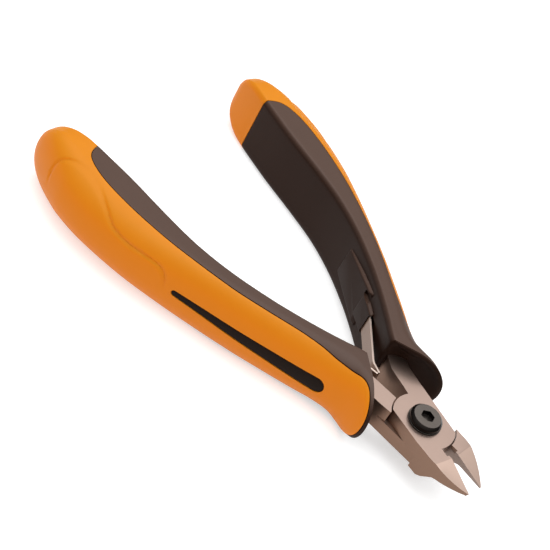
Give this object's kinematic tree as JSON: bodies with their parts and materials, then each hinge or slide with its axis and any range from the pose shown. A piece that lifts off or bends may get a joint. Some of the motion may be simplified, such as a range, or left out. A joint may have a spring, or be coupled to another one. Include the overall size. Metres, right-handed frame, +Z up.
{
  "type": "diagonal cutting pliers",
  "caption": "Small electronics side cutters with two lapped steel halves on a socket screw, leaf springs and curved two-part moulded grips",
  "frame": {"origin": "centre of the underside of the grips, under the middle of the open tool", "axes": "+X along the tool towards the jaw tips, +Y across it towards the grip of the upper half, +Z up along the pivot"},
  "size_m": [0.1256, 0.081, 0.017],
  "materials": {
    "steel": "satin ground tool steel with a fine grain",
    "spring_steel": "bright rolled spring steel",
    "black_oxide": "black oxide, slightly worn on the edges",
    "grip_brown": "matte dark brown moulded elastomer",
    "grip_orange": "soft satin orange moulded plastic",
    "inlay_dark": "matte near-black elastomer"
  },
  "bodies": {
    "lower": {"lower_half": "steel", "pivot_screw": "black_oxide", "pivot_washer": "black_oxide", "lower_spring": "spring_steel", "lower_spring_rivets": "spring_steel", "lower_grip_core": "grip_brown", "lower_grip_cover": "grip_orange", "lower_grip_inlay": "inlay_dark"},
    "upper": {"upper_half": "steel", "upper_spring": "spring_steel", "upper_spring_rivets": "spring_steel", "upper_grip_core": "grip_brown", "upper_grip_cover": "grip_orange", "upper_grip_inlay": "inlay_dark"}
  },
  "joints": [
    {"name": "pivot", "type": "hinge", "parent": "lower", "child": "upper", "pos_m": [0.04371, 0, 0.0085], "axis": [0, 0, 1], "range_deg": [0, 12.5], "stiffness_Nm_per_rad": 1, "springref_deg": -5.73, "deforming": ["lower_spring", "upper_spring"]}
  ]
}
